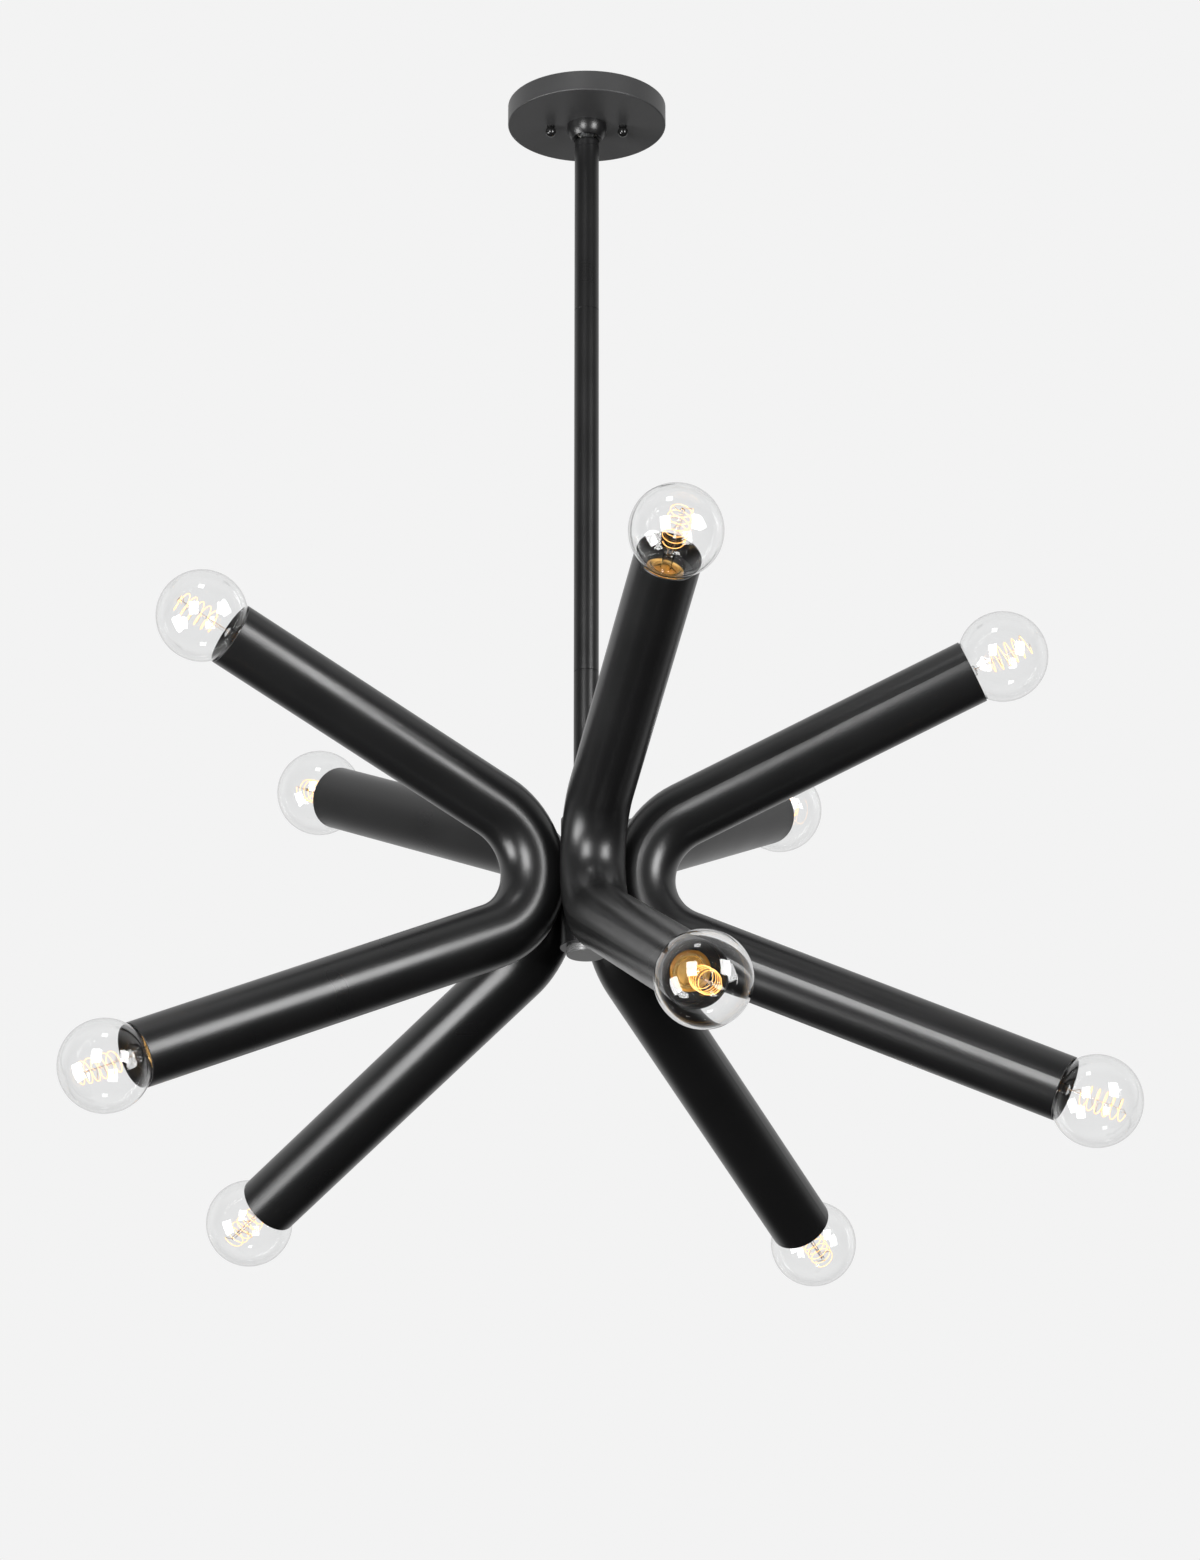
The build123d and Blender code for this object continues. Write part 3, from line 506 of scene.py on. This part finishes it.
def coil_point(turn, beside=0.0, below=0.0):
    """A place on the coil after so many turns, or a little beside and below it."""
    drawn_in = max(0.0, turn - COIL_TURNS + TAPERED_TURNS) / TAPERED_TURNS
    let_out = max(0.0, FOOT_TURNS - turn) / FOOT_TURNS
    radius = COIL_RADIUS - (COIL_RADIUS - COIL_END_RADIUS) * drawn_in**EASE + beside
    radius -= (COIL_RADIUS - COIL_FOOT_RADIUS) * let_out**EASE
    angle = 2 * pi * turn
    height = COIL_START + COIL_PITCH * turn - below
    return Vector((radius * cos(angle), radius * sin(angle), height))


coil_steps = int(TURN_STEPS * COIL_TURNS)
coil_path = [coil_point(COIL_TURNS * step / coil_steps) for step in range(coil_steps + 1)]
coil_model = drawn_wire(coil_path, WIRE_RADIUS, 2)
coil_end = coil_point(COIL_TURNS)
wires = [
    drawn_wire(
        [
            (LEAD_PLACE, 0, LEAD_FOOT),
            (LEAD_PLACE, 0, LEAD_RISE),
            (COIL_FOOT_RADIUS * 0.85, -COIL_FOOT_RADIUS * 0.3, COIL_START - LEAD_PLACE),
            coil_point(0),
        ],
        LEAD_RADIUS,
    ),
    drawn_wire(
        [(-LEAD_PLACE, 0, LEAD_FOOT), (-LEAD_PLACE, 0, coil_end.z), coil_end],
        LEAD_RADIUS,
    ),
]
for turn in SUPPORT_TURNS:
    root = coil_point(turn, 0.0, SUPPORT_HOOK)
    outward = Vector((root.x, root.y, 0)).normalized()
    wires.append(
        drawn_wire(
            [
                outward * ROD_RADIUS + Vector((0, 0, root.z)),
                coil_point(turn, -SUPPORT_HOOK, SUPPORT_HOOK),
                coil_point(turn, SUPPORT_HOOK / 2, SUPPORT_HOOK / 2),
                coil_point(turn, 0.0, -SUPPORT_HOOK / 2),
            ],
            SUPPORT_RADIUS,
        )
    )
bpy.ops.object.select_all(action="DESELECT")
for wire in wires:
    wire.select_set(True)
bpy.context.view_layer.objects.active = wires[0]
bpy.ops.object.join()
support_model = bpy.context.object

for leg, axes in bulb_places.items():
    body = "bulb_" + leg
    name = "filament_coil_" + leg
    coil = placed_copy(coil_model, name, axes, glowing, body)
    name = "filament_supports_" + leg
    placed_copy(support_model, name, axes, support_metal, body)
    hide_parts("filament_" + leg)
bpy.data.objects.remove(coil_model)
bpy.data.objects.remove(support_model)

# ---------------------------------------------------------------- camera
# The photograph was taken from below and in front, with a long lens held level.
CAMERA_PLACE = (0.0, -4.2186, -2.1826)
CAMERA_PITCH = 19.804
CAMERA_YAW = -0.166
CAMERA_LENS = 117.05
CAMERA_REACH = 100

bpy.ops.object.select_all(action="DESELECT")
bpy.ops.object.camera_add(
    location=CAMERA_PLACE, rotation=(radians(90 + CAMERA_PITCH), 0, radians(CAMERA_YAW))
)
camera = bpy.context.object
camera.data.lens = CAMERA_LENS
camera.data.clip_end = CAMERA_REACH
bpy.context.scene.camera = camera

# ---------------------------------------------------------------- floor and light
# A plain pale floor lies far below the chandelier. Softboxes stand in front on both sides,
# low on the left and high in the middle. The room is pale behind and above, and dark in
# front and below, as glass and gloss show it.
FLOOR_LEVEL = -5.5
FLOOR_SIZE = 40.0
FLOOR_DARK = (0.24, 0.24, 0.24, 1)
FLOOR_LIGHT = (0.27, 0.27, 0.27, 1)
FLOOR_SEEN = 0.84
FLOOR_CLOUDS = 3.0
FLOOR_ROUGHNESS = 0.9
BACKGROUND = 0.896
ROOM_LIGHT = 0.15
PALE_SIDE = (0.0, 0.72, 0.70)
PALE_FROM = 0.04
PALE_TO = 0.62
DARK_SIDE = 0.012
PALE_ROOM = 0.74
HUB = Vector((0, 0, -0.76))
SOFTBOXES = (
    ((-0.96, -2.35, -0.66), 0.95, 1.30, 62.0),
    ((1.72, -1.82, -0.46), 0.95, 1.30, 60.0),
    ((-2.48, -1.05, -1.78), 1.25, 1.55, 84.0),
    ((-0.36, -1.33, 1.21), 0.45, 0.45, 4.0),
)

bpy.ops.object.select_all(action="DESELECT")
bpy.ops.mesh.primitive_plane_add(size=FLOOR_SIZE, location=(0, 0, FLOOR_LEVEL))
floor = bpy.context.object
floor.name = "studio_floor"
pale, nodes, links, shader = new_material("pale_floor")
tinted(nodes, links, shader, object_noise(nodes, links, FLOOR_CLOUDS), FLOOR_DARK, FLOOR_LIGHT)
shader.inputs["Roughness"].default_value = FLOOR_ROUGHNESS
path = nodes.new("ShaderNodeLightPath")
seen = nodes.new("ShaderNodeMath")
seen.operation = "MULTIPLY"
seen.inputs[1].default_value = FLOOR_SEEN
links.new(path.outputs["Is Camera Ray"], seen.inputs[0])
links.new(seen.outputs["Value"], shader.inputs["Emission Strength"])
shader.inputs["Emission Color"].default_value = (1, 1, 1, 1)
floor.data.materials.append(pale)
floor.visible_glossy = False
floor.visible_transmission = False

for place, width, height, power in SOFTBOXES:
    bpy.ops.object.light_add(type="AREA", location=place)
    box = bpy.context.object
    box.rotation_euler = (HUB - Vector(place)).to_track_quat("-Z", "Y").to_euler()
    box.data.shape = "RECTANGLE"
    box.data.size = width
    box.data.size_y = height
    box.data.energy = power
    box.visible_camera = False

world = bpy.data.worlds.new("studio")
bpy.context.scene.world = world
world.use_nodes = True
tree = world.node_tree


def world_mix(lower, upper, factor):
    """Blend two brightnesses of the room."""
    blend = tree.nodes.new("ShaderNodeMix")
    for socket, level in (("A", lower), ("B", upper)):
        if isinstance(level, float):
            blend.inputs[socket].default_value = level
        else:
            tree.links.new(level, blend.inputs[socket])
    tree.links.new(factor, blend.inputs["Factor"])
    return blend.outputs["Result"]


path = tree.nodes.new("ShaderNodeLightPath")
direction = tree.nodes.new("ShaderNodeTexCoord")
toward = tree.nodes.new("ShaderNodeVectorMath")
toward.operation = "DOT_PRODUCT"
toward.inputs[1].default_value = PALE_SIDE
tree.links.new(direction.outputs["Generated"], toward.inputs[0])
edge = tree.nodes.new("ShaderNodeMapRange")
edge.interpolation_type = "SMOOTHSTEP"
edge.inputs["From Min"].default_value = PALE_FROM
edge.inputs["From Max"].default_value = PALE_TO
edge.inputs["To Min"].default_value = DARK_SIDE
edge.inputs["To Max"].default_value = PALE_ROOM
tree.links.new(toward.outputs["Value"], edge.inputs["Value"])
mirrored = tree.nodes.new("ShaderNodeMath")
mirrored.operation = "MINIMUM"
mirrored.inputs[1].default_value = 1.0
tree.links.new(path.outputs["Glossy Depth"], mirrored.inputs[0])
level = world_mix(ROOM_LIGHT, BACKGROUND, path.outputs["Is Transmission Ray"])
level = world_mix(level, edge.outputs["Result"], mirrored.outputs[0])
level = world_mix(level, BACKGROUND, path.outputs["Is Camera Ray"])
tree.links.new(level, tree.nodes["Background"].inputs["Color"])

bpy.context.scene.view_settings.view_transform = "Standard"
